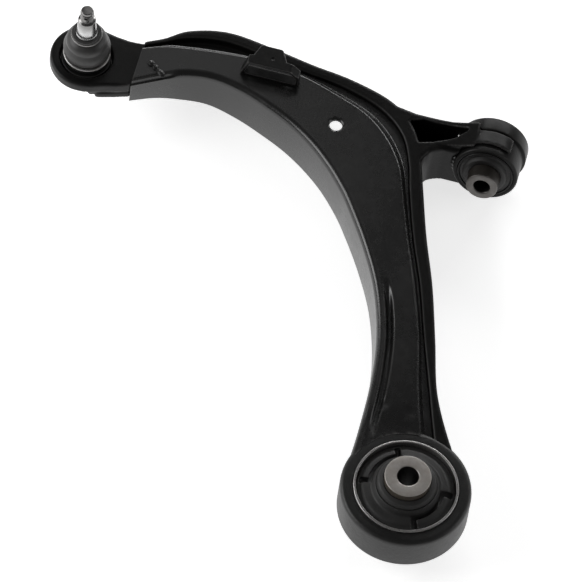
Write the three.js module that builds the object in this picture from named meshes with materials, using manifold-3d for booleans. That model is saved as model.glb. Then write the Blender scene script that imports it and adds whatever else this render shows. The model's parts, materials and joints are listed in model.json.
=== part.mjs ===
// Front lower control arm of a car: a pressed-steel arm with a ball joint at its nose, a round rear
// bush with its axis upright, and a front bush whose axis lies almost level. Millimetres, +Z up.
// The layout frame has the rear bush axis at x = y = 0 and the rear bush's rim at z = 0. The whole
// group is moved at the end, so that the origin is the middle of the bounding box's base.

import * as THREE from "three";
import { mergeVertices } from "three/addons/utils/BufferGeometryUtils.js";
import Module from "manifold-3d";

const wasm = await Module();
wasm.setup();

// ---------------------------------------------------------------- driving dimensions

const GAP = 0.3; // clearance between neighbours
const SHEET = 3; // thickness of the pressed steel
const ROUND = 36; // segments of a full circle
const LARGE = 56; // segments of the rear bush
const INNER = 28; // segments of the front rubber, the ball housing and what is inside it

// Pressed arm, listed from the nose to the rear eye. x, y: foot of the inner wall. turn: direction of
// the section across the arm, in degrees. plate: flat top. slope: falling edge of the top. pocket:
// open gap before the outer rim. rim: flat top of the outer rim. depth: height of the walls.
const STATIONS = [
  { x: -270, y: 274, turn: 89, plate: 33, slope: 3, pocket: 0.5, rim: 3.5, depth: 24 },
  { x: -253, y: 283.5, turn: 95, plate: 29.5, slope: 3, pocket: 1.5, rim: 3.7, depth: 27 },
  { x: -236, y: 292, turn: 97, plate: 24.5, slope: 3, pocket: 6.5, rim: 6.7, depth: 34 },
  { x: -215, y: 295.5, turn: 88, plate: 24, slope: 3, pocket: 8.5, rim: 8.8, depth: 37 },
  { x: -192, y: 291.5, turn: 73, plate: 31, slope: 3, pocket: 3, rim: 9.2, depth: 40 },
  { x: -170, y: 283, turn: 62, plate: 38.5, slope: 4.5, pocket: 0.5, rim: 9.2, depth: 41 },
  { x: -151, y: 273.5, turn: 52, plate: 47, slope: 7, pocket: 0.3, rim: 10, depth: 41 },
  { x: -134, y: 262, turn: 44, plate: 54, slope: 8.5, pocket: 0.3, rim: 11.4, depth: 41 },
  { x: -119, y: 248.5, turn: 39, plate: 53.5, slope: 10, pocket: 0.3, rim: 10.5, depth: 40 },
  { x: -106, y: 234, turn: 34, plate: 49, slope: 7, pocket: 0.3, rim: 9.8, depth: 40 },
  { x: -95, y: 219, turn: 30, plate: 43, slope: 4.5, pocket: 0.3, rim: 10.6, depth: 40 },
  { x: -76, y: 188, turn: 26, plate: 34, slope: 3.5, pocket: 0.3, rim: 10.2, depth: 40 },
  { x: -60, y: 155, turn: 20, plate: 30, slope: 3.5, pocket: 0.3, rim: 9.4, depth: 40 },
  { x: -49, y: 117, turn: 12, plate: 30.5, slope: 3.5, pocket: 0.3, rim: 8.4, depth: 40 },
  { x: -44.2, y: 78, turn: 4, plate: 39, slope: 3.5, pocket: 0.3, rim: 6.2, depth: 37 },
  { x: -43.6, y: 36, turn: 2, plate: 52, slope: 4, pocket: 0.3, rim: 13, depth: 32 },
  { x: -44.6, y: 10, turn: 1, plate: 65, slope: 4, pocket: 0.3, rim: 20, depth: 31 },
];
const RINGS_PER_STATION = 3;
const FLOOR = -9; // foot of the channel's outer leg, above the frame's ledge
const RIM_TOP = -2; // top of the outer rim
const LEDGE = 4; // how far the frame reaches under the channel
const NEAR_WALL = 285; // y of the near wall of the front-bush arm
const ARM_BOTTOM = -43; // foot of the front-bush arm's walls
const BEAD = {
  offset: 9.5, half: 3.2, depth: 4, trace: 0.05, start: 165, full: 135, end: 52, gone: 38,
};
const GAUGE_HOLE = { x: -118, y: 282, radius: 4.7 };

const REAR = { eye: 47, bore: 38, top: -1.5, bottom: -31 };
const REAR_SLEEVE = { outer: 37.7, inner: 35.7, top: 0, bottom: -32.5 };
const REAR_RUBBER = { outer: 35.4, inner: 17, top: -2, bottom: -30.5 };
const REAR_VOID = { inner: 24.6, outer: 27.4, tip: 33.4, middle: -31, half: 39, tipHalf: 4 };
const REAR_CORE = { outer: 16.7, bolt: 7.7, top: 14, bottom: -46 };

// Front bush: a local frame whose +Z is the bush axis, pointing to the near end.
const FRONT = {
  x: -4.5, y: 296, z: -17, tilt: 12, eye: 24, collar: 26.1, bore: 20.9, half: 16.6, step: -2.6,
};
const FRONT_SLEEVE = { outer: 20.6, inner: 19.3, half: 17.2 };
const FRONT_RUBBER = { outer: 19, inner: 11.9, half: 17.6, lip: 15.5 };
const FRONT_CORE = { outer: 11.6, bolt: 5.9, half: 30.4 };
const STRAP = { outer: 26.3, low: -2.3, high: 10.8 };

// Ball joint: x, y of its axis, and z of the ball's centre. The stud rests with a small lean.
const BALL = { x: -307.5, y: 290.5, z: -8.5, radius: 11.5, neck: 6, lean: 2.6 };
const CARRIER = {
  nose: 26.5, boss: 23.5, bore: 18.8, groove: 20.7, top: -3.3, step: -12, noseBottom: -16.5, bottom: -20,
};
const HOUSING = { outer: 18.5, lower: 17.4, cavity: 14.3, spigot: 13.7, spigotTop: 2.5, bottom: -25 };
const STUD_TIP = 55;

// ---------------------------------------------------------------- solids

const COLOURS = {
  coat: { color: 0x1b1b1c, roughness: 0.42, metalness: 0.35 },
  weld: { color: 0x222224, roughness: 0.5, metalness: 0.35 },
  steel: { color: 0x9a948c, roughness: 0.38, metalness: 0.85 },
  plated: { color: 0xd8dadc, roughness: 0.16, metalness: 1 },
  rubber: { color: 0x1d1d1e, roughness: 0.8, metalness: 0 },
  polymer: { color: 0xe6e2d8, roughness: 0.5, metalness: 0 },
};

function solid(geometry) {
  const bare = geometry.clone();
  bare.deleteAttribute("normal");
  bare.deleteAttribute("uv");
  const merged = mergeVertices(bare, 1e-4);
  return new wasm.Manifold(
    new wasm.Mesh({
      numProp: 3,
      vertProperties: merged.attributes.position.array,
      triVerts: new Uint32Array(merged.index.array),
    }),
  );
}

function geometryOf(manifold) {
  const mesh = manifold.getMesh();
  const geometry = new THREE.BufferGeometry();
  geometry.setAttribute("position", new THREE.BufferAttribute(mesh.vertProperties, 3));
  geometry.setIndex(new THREE.BufferAttribute(mesh.triVerts, 1));
  geometry.computeVertexNormals();
  return geometry;
}

// A closed solid from rings of corners. Each ring has its corners in space and the same corners in
// the flat (u, v) plane of its section, which the two end caps are filled in.
function loft(rings) {
  const count = rings[0].space.length;
  const positions = rings.flatMap((ring) => ring.space.flatMap((p) => p.toArray()));
  const faces = [];
  for (let r = 0; r + 1 < rings.length; r += 1) {
    for (let i = 0; i < count; i += 1) {
      const a = r * count + i;
      const b = r * count + ((i + 1) % count);
      faces.push(a, b, b + count, a, b + count, a + count);
    }
  }
  const last = (rings.length - 1) * count;
  cap(rings[0].flat).forEach(([a, b, c]) => faces.push(c, b, a));
  cap(rings.at(-1).flat).forEach(([a, b, c]) => faces.push(last + a, last + b, last + c));
  const geometry = new THREE.BufferGeometry();
  geometry.setAttribute("position", new THREE.Float32BufferAttribute(positions, 3));
  geometry.setIndex(volumeOf(positions, faces) < 0 ? faces.toReversed() : faces);
  return geometry;
}

// Triangles of an end cap, wound the same way as its ring.
function cap(flat) {
  const triangles = THREE.ShapeUtils.triangulateShape(flat, []);
  return THREE.ShapeUtils.isClockWise(flat) ? triangles.map(([a, b, c]) => [c, b, a]) : triangles;
}

function volumeOf(positions, faces) {
  const corner = (i) => new THREE.Vector3().fromArray(positions, 3 * i);
  let total = 0;
  for (let f = 0; f < faces.length; f += 3) {
    const [a, b, c] = [corner(faces[f]), corner(faces[f + 1]), corner(faces[f + 2])];
    total += a.dot(b.cross(c));
  }
  return total;
}

// A flat outline in plan, raised from one height to another.
function prism(points, low, high) {
  const shape = new THREE.Shape(points.map(([x, y]) => new THREE.Vector2(x, y)));
  const geometry = new THREE.ExtrudeGeometry(shape, { depth: high - low, bevelEnabled: false });
  return geometry.translate(0, 0, low);
}

// A solid of revolution about +Z from a closed (radius, height) profile.
function turned(profile, segments = ROUND) {
  const points = [...profile, profile[0]].map(([r, z]) => new THREE.Vector2(r, z));
  return new THREE.LatheGeometry(points, segments).rotateX(Math.PI / 2);
}

function tube(outer, inner, low, high, segments = ROUND) {
  return turned([[inner, low], [outer, low], [outer, high], [inner, high]], segments);
}

function disc(radius, low, high, segments = ROUND) {
  const geometry = new THREE.CylinderGeometry(radius, radius, high - low, segments);
  return geometry.rotateX(Math.PI / 2).translate(0, 0, (low + high) / 2);
}

// (radius, height) points of an arc about (0, centre), from one polar angle to another.
function arc(radius, centre, from, to, steps) {
  return Array.from({ length: steps + 1 }, (_, i) => {
    const angle = THREE.MathUtils.degToRad(from + ((to - from) * i) / steps);
    return [radius * Math.cos(angle), centre + radius * Math.sin(angle)];
  });
}

// ---------------------------------------------------------------- the arm's sections

function smooth(values, u) {
  const i = Math.min(Math.floor(u), values.length - 2);
  const t = u - i;
  const at = (k) => values[THREE.MathUtils.clamp(k, 0, values.length - 1)];
  const [a, b, c, d] = [at(i - 1), at(i), at(i + 1), at(i + 2)];
  return b + 0.5 * t * (c - a + t * (2 * a - 5 * b + 4 * c - d + t * (3 * (b - c) + d - a)));
}

function stationAt(u) {
  const value = (key) => smooth(STATIONS.map((station) => station[key]), u);
  const turn = THREE.MathUtils.degToRad(value("turn"));
  const channel = value("plate") + value("slope");
  const station = {
    foot: new THREE.Vector3(value("x"), value("y"), 0),
    across: new THREE.Vector3(Math.cos(turn), Math.sin(turn), 0),
    plate: value("plate"),
    slope: value("slope"),
    depth: value("depth"),
    channel,
    rim: channel + Math.max(value("pocket"), GAP),
  };
  station.edge = station.rim + value("rim");
  return station;
}

function ringAt(station, flat) {
  const space = flat.map(([t, z]) => station.foot.clone().addScaledVector(station.across, t).setZ(z));
  return { space, flat: flat.map(([t, z]) => new THREE.Vector2(t, z)) };
}

function sections(profile) {
  const count = (STATIONS.length - 1) * RINGS_PER_STATION;
  return Array.from({ length: count + 1 }, (_, i) => {
    const station = stationAt(i / RINGS_PER_STATION);
    return ringAt(station, profile(station));
  });
}

// Depth of the pressed bead beside the inner edge, which runs along the rear of the arm and fades to
// a trace elsewhere.
function beadDepth(y) {
  const rise = THREE.MathUtils.smoothstep(-y, -BEAD.start, -BEAD.full);
  const fall = THREE.MathUtils.smoothstep(y, BEAD.gone, BEAD.end);
  return Math.max(BEAD.depth * rise * fall, BEAD.trace);
}

// Channel: deep inner wall, flat top with a pressed bead, and an outer edge that slopes down to a leg.
function channelProfile({ foot, plate, slope, depth, channel }) {
  const bead = beadDepth(foot.y);
  const drop = 2.2 + 0.28 * slope;
  const { offset, half } = BEAD;
  return [
    [0, -depth],
    [0, -5],
    [0.7, -2.5],
    [2.5, -0.7],
    [5, 0],
    [offset - half, 0],
    [offset - 1, -bead],
    [offset + 1, -bead],
    [offset + half, 0],
    [plate - 2.5, 0],
    [plate, -0.9],
    [channel - 0.8, -drop],
    [channel, -drop - 1.2],
    [channel, FLOOR],
    [channel - SHEET, FLOOR],
    [channel - SHEET, -Math.min(drop + 3, 8.4)],
    [plate - 2.2, -3.7],
    [plate - 4, -SHEET],
    [offset + half + 1.2, -SHEET],
    [offset + 2, -SHEET - bead],
    [offset - 2, -SHEET - bead],
    [offset - half - 1.2, -SHEET],
    [4.6, -3.4],
    [3.3, -5.2],
    [SHEET, -depth],
  ];
}

// Outer frame: outer wall, flat rim, and a ledge that reaches under the channel's leg.
function frameProfile({ channel, rim, edge, depth }) {
  const ledge = FLOOR - GAP;
  return [
    [channel - LEDGE, ledge],
    [rim, ledge],
    [rim, RIM_TOP - 1.4],
    [rim + 1.2, RIM_TOP],
    [edge - 1.6, RIM_TOP],
    [edge, RIM_TOP - 1.6],
    [edge, -depth + 4],
    [edge - SHEET, -depth + 4],
    [edge - SHEET, ledge - SHEET],
    [channel - LEDGE, ledge - SHEET],
  ];
}

// ---------------------------------------------------------------- placing

const arm = new THREE.Group();

function add(name, geometry, look, holder = arm) {
  const mesh = new THREE.Mesh(geometry, new THREE.MeshStandardMaterial(COLOURS[look]));
  mesh.name = name;
  holder.add(mesh);
}

const ballJoint = new THREE.Group();
ballJoint.position.set(BALL.x, BALL.y, 0);
arm.add(ballJoint);

const frontBush = new THREE.Group();
frontBush.position.set(FRONT.x, FRONT.y, FRONT.z);
frontBush.rotation.x = THREE.MathUtils.degToRad(90 - FRONT.tilt);
arm.add(frontBush);
frontBush.updateMatrixWorld();

const inFrontBush = (geometry) => geometry.clone().applyMatrix4(frontBush.matrixWorld);
const atBall = (geometry) => geometry.clone().translate(BALL.x, BALL.y, 0);

// ---------------------------------------------------------------- pressed steel

const rearEyeClearance = solid(disc(REAR.eye + GAP, -60, 20));
const frontEyeClearance = solid(inFrontBush(disc(FRONT.eye + GAP, -60, 60))).add(
  solid(inFrontBush(disc(FRONT.collar + GAP, -60, FRONT.step))),
);

function mainChannel() {
  const { x, y, radius } = GAUGE_HOLE;
  const gauge = solid(disc(radius, -20, 10, 24).translate(x, y, 0));
  return solid(loft(sections(channelProfile)))
    .subtract(rearEyeClearance)
    .subtract(gauge);
}

// The front-bush arm grows out of the frame: a box open below, with a three-cornered pocket on top
// and a saddle that climbs to the top of the front eye.
function frontArm() {
  const skin = [
    [-86, 314.5], [-78, 312], [-63, 309.5], [-45, 310], [-30, 311], [-4, 311], [-4, NEAR_WALL],
    [-38, NEAR_WALL], [-46, 281], [-51, 273], [-50.5, 262], [-45, 247], [-49, 242], [-58, 262],
    [-68, 288], [-84, 304],
  ];
  const hollow = [
    [-84, 309], [-63, 306.5], [-45, 307], [-30, 308], [-30, 288], [-39, 288], [-48.3, 283.2],
    [-54, 274], [-53.5, 262], [-50, 240], [-70, 262], [-80, 288],
  ];
  const pocket = [
    [-71, 299.5], [-66, 303], [-57, 306.3], [-40, 305.5], [-23.5, 303.7], [-23.5, 302], [-31.5, 295],
    [-46.5, 289.4], [-57, 286], [-66, 293],
  ];
  const saddle = [[-50, -5], [-50, RIM_TOP], [-38, -0.8], [-28, 2.4], [-19, 6.6], [-19, -5]];
  const saddleSolid = solid(prism(saddle, -311, -286).rotateX(Math.PI / 2));
  return solid(prism(skin, ARM_BOTTOM, RIM_TOP))
    .subtract(solid(prism(hollow, ARM_BOTTOM + SHEET, RIM_TOP - SHEET)))
    .add(saddleSolid)
    .subtract(solid(prism(pocket, -12, 8)))
    .add(eyeStrap());
}

// The strap in which the frame wraps over the top of the front eye, from the arm's side.
function eyeStrap() {
  const angles = Array.from({ length: 15 }, (_, i) => THREE.MathUtils.degToRad(55 + 9 * i));
  const at = (radius, list) => list.map((a) => [radius * Math.cos(a), radius * Math.sin(a)]);
  const inner = at(FRONT.eye - 1, angles);
  const outer = at(STRAP.outer, angles.toReversed());
  return solid(inFrontBush(prism([...inner, ...outer], STRAP.low, STRAP.high)));
}

function outerFrame() {
  return solid(loft(sections(frameProfile)))
    .add(frontArm().subtract(solid(loft(sections(channelClearance)))))
    .subtract(rearEyeClearance)
    .subtract(frontEyeClearance);
}

// The space that the channel fills, with its clearance, up to well above the top.
function channelClearance({ depth, channel }) {
  return [[-20, -depth - 5], [-20, 20], [channel + GAP, 20], [channel + GAP, FLOOR - GAP],
    [channel - LEDGE, FLOOR - GAP], [channel - LEDGE, -depth - 5]];
}

// Nose plate: a round nose about the ball joint, with a shallow boss below and a dished mouth on top,
// and a deeper tail whose tongue lies inside the channel.
function carrier() {
  const { nose, boss, bore, groove, top, step, noseBottom, bottom } = CARRIER;
  const circle = (radius, from, to, steps) =>
    arc(radius, BALL.y, from, to, steps).map(([x, y]) => [x + BALL.x, y]);
  const tail = (inset) => [
    [-292, 270 + inset], [-281, 271 + inset], [-270.4, 274.6 + inset], [-270.4, 279.8], [-258, 288],
    [-248, 294], [-248, 303], [-262, 303.4], [-270.4, 303.4], [-270.4, 312.4 - inset],
    [-279, 312.6 - inset], [-288, 314 - inset],
  ];
  const outline = (radius, inset) => [...circle(radius, 68, 290, 26), ...tail(inset)];
  const mouth = turned([[0, top - 2.4], [bore, top - 2.4], [groove, top + 1], [0, top + 1]], LARGE);
  return solid(prism(outline(nose, 0), step, top))
    .add(solid(prism(outline(boss, 0.8), noseBottom, step + 0.5)))
    .add(solid(prism(tail(0), bottom, noseBottom + 0.5)))
    .subtract(solid(atBall(disc(bore, -60, 20))))
    .subtract(solid(atBall(disc(bore + 2.2, -60, noseBottom))))
    .subtract(solid(atBall(mouth)));
}

// A weld bead laid on a surface along a path in plan: flat below and round above.
function weldBead(path, width, height, base) {
  const curve = new THREE.CatmullRomCurve3(path.map(([x, y]) => new THREE.Vector3(x, y, base)));
  const steps = 10;
  const half = arc(1, 0, 0, 180, 6);
  return loft(
    Array.from({ length: steps + 1 }, (_, i) => {
      const centre = curve.getPointAt(i / steps);
      const along = curve.getTangentAt(i / steps);
      const side = new THREE.Vector3(-along.y, along.x, 0);
      const end = Math.sqrt(Math.max(1 - (Math.abs(2 * i - steps) / (steps + 1)) ** 4, 0.05));
      const flat = half.map(([u, v]) => new THREE.Vector2((u * width * end) / 2, v * height * end));
      const space = flat.map((p) => centre.clone().addScaledVector(side, p.x).setZ(base + p.y));
      return { space, flat };
    }),
  );
}

// A three-cornered weld around a cylinder about +Z, over part of a turn. rootAt gives the height of
// the plate that it is laid against, at each angle in degrees.
function weldFillet(radius, size, rootAt, from, to) {
  const steps = 14;
  return loft(
    Array.from({ length: steps + 1 }, (_, i) => {
      const degrees = from + ((to - from) * i) / steps;
      const angle = THREE.MathUtils.degToRad(degrees);
      const root = rootAt(degrees);
      const corners = [[radius, root], [radius + Math.abs(size), root], [radius, root + size]];
      const [c, s] = [Math.cos(angle), Math.sin(angle)];
      const space = corners.map(([r, z]) => new THREE.Vector3(r * c, r * s, z));
      return { space, flat: corners.map(([r, z]) => new THREE.Vector2(r, z)) };
    }),
  );
}

// Harness bracket: a bent strip that bridges the top, wide in front and narrow behind.
function bracket() {
  const outside = [[-196, 0.3], [-191.5, 17], [-159.5, 17], [-152.5, 11], [-152.5, 0.3]];
  const inside = [[-193, 2.3], [-189.6, 14.8], [-160, 14.8], [-154.7, 9.9], [-154.7, 2.3]];
  const bridge = solid(prism(outside, -312.5, -305).rotateX(Math.PI / 2));
  const tunnel = solid(prism(inside, -313, -304).rotateX(Math.PI / 2));
  const lid = prism([[-191.5, 305], [-159.5, 305], [-168.5, 323], [-185, 323]], 14.8, 17);
  return bridge.subtract(tunnel).add(solid(lid));
}

add("main_channel", geometryOf(mainChannel()), "coat");
add("outer_frame", geometryOf(outerFrame()), "coat");
add("ball_joint_carrier", geometryOf(carrier()), "coat");
add("harness_bracket", geometryOf(bracket()), "coat");
add("nose_weld", weldBead([[-262, 296.5], [-255, 291.5], [-248, 286]], 4, 1.6, GAP), "weld");

add("rear_eye_weld", weldFillet(REAR.eye + GAP, -4, () => -SHEET - 2 * GAP, 95, 121), "weld");

// ---------------------------------------------------------------- rear bush

const rearEyeProfile = [
  [REAR.bore, REAR.bottom], [REAR.eye - 1.2, REAR.bottom], [REAR.eye, REAR.bottom + 1.2],
  [REAR.eye, REAR.top - 3], [REAR.eye - 0.9, REAR.top - 0.9], [REAR.eye - 3, REAR.top],
  [REAR.bore, REAR.top],
];

const onCircle = (radius, degrees) => {
  const angle = THREE.MathUtils.degToRad(degrees);
  return [radius * Math.cos(angle), radius * Math.sin(angle)];
};

// A cutter for part of a ring, between two radii and two angles.
function sector(near, far, from, to, steps) {
  const angles = Array.from({ length: steps + 1 }, (_, i) => from + ((to - from) * i) / steps);
  const outside = angles.map((angle) => onCircle(far, angle));
  const inside = angles.toReversed().map((angle) => onCircle(near, angle));
  return solid(prism([...outside, ...inside], -60, 20));
}

// Rear rubber: a web with a collar that climbs the inner sleeve, and a curved slit on each side.
function rearRubber() {
  const { outer, inner, top, bottom } = REAR_RUBBER;
  const profile = [
    [inner, bottom - 2], [inner + 5, bottom - 1], [outer - 4, bottom + 1], [outer, bottom + 3],
    [outer, top - 3], [outer - 4, top - 1], [24.4, top + 1], [20.4, top + 9], [inner, top + 10],
  ];
  const { inner: near, outer: far, tip, half, tipHalf, middle } = REAR_VOID;
  let rubber = solid(turned(profile, LARGE));
  for (const centre of [middle, middle + 180]) {
    rubber = rubber.subtract(sector(near, far, centre - half, centre + half, 16));
    for (const side of [-1, 1]) {
      const at = centre + side * (half - tipHalf);
      rubber = rubber.subtract(sector(near, tip, at - tipHalf, at + tipHalf, 3));
    }
  }
  return geometryOf(rubber);
}

add("rear_eye_ring", turned(rearEyeProfile, LARGE), "coat");
const rearShell = tube(REAR_SLEEVE.outer, REAR_SLEEVE.inner, REAR_SLEEVE.bottom, REAR_SLEEVE.top, LARGE);
add("rear_outer_sleeve", rearShell, "steel");
add("rear_rubber", rearRubber(), "rubber");
const rearCore = tube(REAR_CORE.outer, REAR_CORE.bolt, REAR_CORE.bottom, REAR_CORE.top);
add("rear_inner_sleeve", rearCore, "steel");

// ---------------------------------------------------------------- front bush

// Height, in the bush's frame, at which the frame's near wall meets the tilted eye at an angle.
function nearWallAt(degrees) {
  const tilt = THREE.MathUtils.degToRad(FRONT.tilt);
  const rise = (FRONT.eye + GAP) * Math.sin(THREE.MathUtils.degToRad(degrees)) * Math.sin(tilt);
  return (FRONT.y - NEAR_WALL + GAP + rise) / Math.cos(tilt);
}

const lipEnd = FRONT_RUBBER.half + 1.4;
const lipFoot = FRONT_RUBBER.half - 1.5;
const rubberEnd = FRONT_RUBBER.half - 1;
const frontRubberProfile = [
  [FRONT_RUBBER.inner, -lipEnd], [FRONT_RUBBER.lip, -lipEnd], [FRONT_RUBBER.lip + 1, -lipFoot],
  [FRONT_RUBBER.outer, -rubberEnd], [FRONT_RUBBER.outer, rubberEnd], [FRONT_RUBBER.lip + 1, lipFoot],
  [FRONT_RUBBER.lip, lipEnd], [FRONT_RUBBER.inner, lipEnd],
];
const frontEyeProfile = [
  [FRONT.bore, -FRONT.half], [FRONT.collar - 1, -FRONT.half], [FRONT.collar, -FRONT.half + 1],
  [FRONT.collar, FRONT.step - 1.4], [FRONT.eye, FRONT.step - 0.3], [FRONT.eye, FRONT.half - 0.8],
  [FRONT.eye - 0.8, FRONT.half], [FRONT.bore, FRONT.half],
];

add("front_eye_tube", turned(frontEyeProfile, 48), "coat", frontBush);
const { outer: shell, inner: shellBore, half: shellHalf } = FRONT_SLEEVE;
add("front_outer_sleeve", tube(shell, shellBore, -shellHalf, shellHalf), "coat", frontBush);
add("front_rubber", turned(frontRubberProfile, INNER), "rubber", frontBush);
const { outer: core, bolt: coreBore, half: coreHalf } = FRONT_CORE;
add("front_inner_sleeve", tube(core, coreBore, -coreHalf, coreHalf), "steel", frontBush);
add("front_eye_weld", weldFillet(FRONT.eye + GAP, 2.5, nearWallAt, 165, 225), "weld", frontBush);

// ---------------------------------------------------------------- ball joint

const sphere = (radius, from, to, steps) => arc(radius, BALL.z, from, to, steps);
const seatTop = BALL.z + 6.4;
const seatRadius = BALL.radius + GAP;
const seatOuter = HOUSING.cavity - GAP;
const latitude = (radius, height) => THREE.MathUtils.radToDeg(Math.asin(height / radius));

const housingProfile = [
  [HOUSING.lower, HOUSING.bottom], [HOUSING.lower, -19.8], [HOUSING.outer, -18.6], [HOUSING.outer, -6],
  [HOUSING.outer - 1.3, -4.8], [HOUSING.spigot, -4.8], [HOUSING.spigot, HOUSING.spigotTop],
  [12.2, HOUSING.spigotTop], [10.2, seatTop + GAP],
  ...sphere(HOUSING.cavity, latitude(HOUSING.cavity, 6.4 + GAP), 0, 4),
  [HOUSING.cavity, -22.2], [16, -22.2], [16, HOUSING.bottom],
];
const seatProfile = [
  ...sphere(seatRadius, latitude(seatRadius, 6.4), -64, 7),
  [5.2, -20.6], [seatOuter, -20.6], ...sphere(seatOuter, 0, latitude(seatOuter, 6.4), 4),
];
const bootProfile = [
  [14, -4.4], [15.2, -4.4], [15.2, 2.7], [16.6, 4.4], [17.4, 8], [17.2, 12], [16.3, 16], [14.6, 19.6],
  [12.4, 22.2], [10.4, 23.4], [10.2, 25.8], [11, 26.2], [10.8, 27.2], [8.4, 27.2], [8.4, 22.2],
  [11.4, 20.8], [13.4, 18.6], [14.9, 15.4], [15.6, 12], [15.8, 8.4], [15.2, 5.6], [14, 4],
];
const studProfile = [
  [0, BALL.z - BALL.radius], ...sphere(BALL.radius, -80, latitude(BALL.radius, 9.8), 8),
  [BALL.neck, 6], [8, 14], [8, 27.5], [7.4, 28.2], [6.5, 43.5], [4.5, 44.2], [5, 45.4], [5, 52.4],
  [4.4, 53.2], [4.4, STUD_TIP - 0.6], [3.8, STUD_TIP], [0, STUD_TIP],
];

function ballStud() {
  const pinHole = new THREE.CylinderGeometry(1.3, 1.3, 40, 16).translate(0, 0, 50);
  return geometryOf(solid(turned(studProfile)).subtract(solid(pinHole)));
}

// Leans the upper parts with the stud, about the ball's centre. The boot bends: its foot stays upright.
function leaned(geometry, footHeight = -Infinity, neckHeight = -Infinity) {
  const corners = geometry.attributes.position;
  for (let i = 0; i < corners.count; i += 1) {
    const [x, z] = [corners.getX(i), corners.getZ(i) - BALL.z];
    const share = THREE.MathUtils.smoothstep(corners.getZ(i), footHeight, neckHeight);
    const angle = -THREE.MathUtils.degToRad(BALL.lean) * (neckHeight > footHeight ? share : 1);
    corners.setX(i, x * Math.cos(angle) + z * Math.sin(angle));
    corners.setZ(i, BALL.z + z * Math.cos(angle) - x * Math.sin(angle));
  }
  geometry.computeVertexNormals();
  return geometry;
}

add("ball_housing", turned(housingProfile, INNER), "coat", ballJoint);
add("housing_circlip", tube(20.2, 18.8, -18, -16.8), "steel", ballJoint);
add("ball_seat", turned(seatProfile, INNER), "polymer", ballJoint);
const washerProfile = [[4.5, -21.9], [13.8, -21.6], [13.8, -20.9], [4.5, -21.2]];
add("preload_washer", turned(washerProfile, INNER), "steel", ballJoint);
add("housing_cover", disc(15.7, -24.3, -22.5, INNER), "steel", ballJoint);
add("boot_lower_ring", tube(17.3, 15.5, 0.3, 2.3, LARGE), "plated", ballJoint);
add("dust_boot", leaned(turned(bootProfile), 3, 22), "rubber", ballJoint);
add("boot_upper_ring", leaned(tube(11.5, 10.7, 24.2, 25.6, INNER)), "plated", ballJoint);
add("ball_stud", leaned(ballStud()), "plated", ballJoint);

// ---------------------------------------------------------------- origin

const box = new THREE.Box3().setFromObject(arm);
arm.position.set(-(box.min.x + box.max.x) / 2, -(box.min.y + box.max.y) / 2, -box.min.z);

export default arm;
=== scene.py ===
"""Looks of a car's front lower control arm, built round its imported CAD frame.

Shapes are worked out in millimetres in a layout frame: the rear bush axis is at x = y = 0, the rim of
its outer sleeve is at z = 0, -X runs to the ball joint and +Y to the front bush. place() turns them
into metres in the row frame."""

import json
import math

import bmesh
import bpy
import numpy as np
from mathutils import Matrix, Vector


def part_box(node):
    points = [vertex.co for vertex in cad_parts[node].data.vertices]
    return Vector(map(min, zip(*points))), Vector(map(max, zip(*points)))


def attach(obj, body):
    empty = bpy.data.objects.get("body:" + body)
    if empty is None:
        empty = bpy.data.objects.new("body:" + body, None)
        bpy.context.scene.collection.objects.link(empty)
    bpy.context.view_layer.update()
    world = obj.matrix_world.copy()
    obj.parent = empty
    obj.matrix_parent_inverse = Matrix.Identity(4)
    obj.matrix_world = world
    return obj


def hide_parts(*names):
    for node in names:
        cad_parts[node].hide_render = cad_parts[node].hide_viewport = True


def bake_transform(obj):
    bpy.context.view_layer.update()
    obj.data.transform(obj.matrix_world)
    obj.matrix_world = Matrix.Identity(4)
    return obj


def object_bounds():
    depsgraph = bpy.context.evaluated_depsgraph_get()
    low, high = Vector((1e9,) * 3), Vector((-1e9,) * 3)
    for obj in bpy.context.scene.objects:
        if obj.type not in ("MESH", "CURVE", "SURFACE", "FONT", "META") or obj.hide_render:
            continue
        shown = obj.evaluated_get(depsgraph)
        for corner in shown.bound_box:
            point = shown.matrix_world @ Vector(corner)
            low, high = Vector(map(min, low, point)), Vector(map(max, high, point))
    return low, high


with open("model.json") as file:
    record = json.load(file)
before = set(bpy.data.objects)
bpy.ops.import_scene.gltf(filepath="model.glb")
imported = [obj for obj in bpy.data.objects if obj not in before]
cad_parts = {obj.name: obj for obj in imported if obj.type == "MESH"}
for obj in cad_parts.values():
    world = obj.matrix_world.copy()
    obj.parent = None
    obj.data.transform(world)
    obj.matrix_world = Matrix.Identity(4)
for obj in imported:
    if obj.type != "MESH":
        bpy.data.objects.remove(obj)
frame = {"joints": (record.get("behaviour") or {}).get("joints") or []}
cad_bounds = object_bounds()

# ---------------------------------------------------------------- places, from the frame

MM = 0.001


def middle(node):
    low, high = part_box(node)
    return (low + high) / 2


def joint(name):
    return next(j for j in frame["joints"] if j["name"] == name)


rear_axis = middle("rear_inner_sleeve")
ORIGIN = Vector((rear_axis.x, rear_axis.y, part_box("rear_outer_sleeve")[1].z))


def layout(point):
    """A row-frame point in metres as a layout point in millimetres."""
    return (Vector(point) - ORIGIN) / MM


def place(points):
    return np.asarray(points, float) * MM + np.array(ORIGIN)


BALL_AXIS = layout(middle("ball_housing"))
FRONT_CENTRE = layout(middle("front_outer_sleeve"))
FRONT_AXIS = Vector(joint("front_bush_twist")["axis"]).normalized()
FRONT_TURN = Vector((0, 0, 1)).rotation_difference(FRONT_AXIS).to_matrix()

# ---------------------------------------------------------------- the arm's sections

CENTRE = (0, 0, 0)  # of the rear bush
GAP = 0.3  # clearance between neighbours
SHEET = 3.0  # pressed steel
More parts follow.
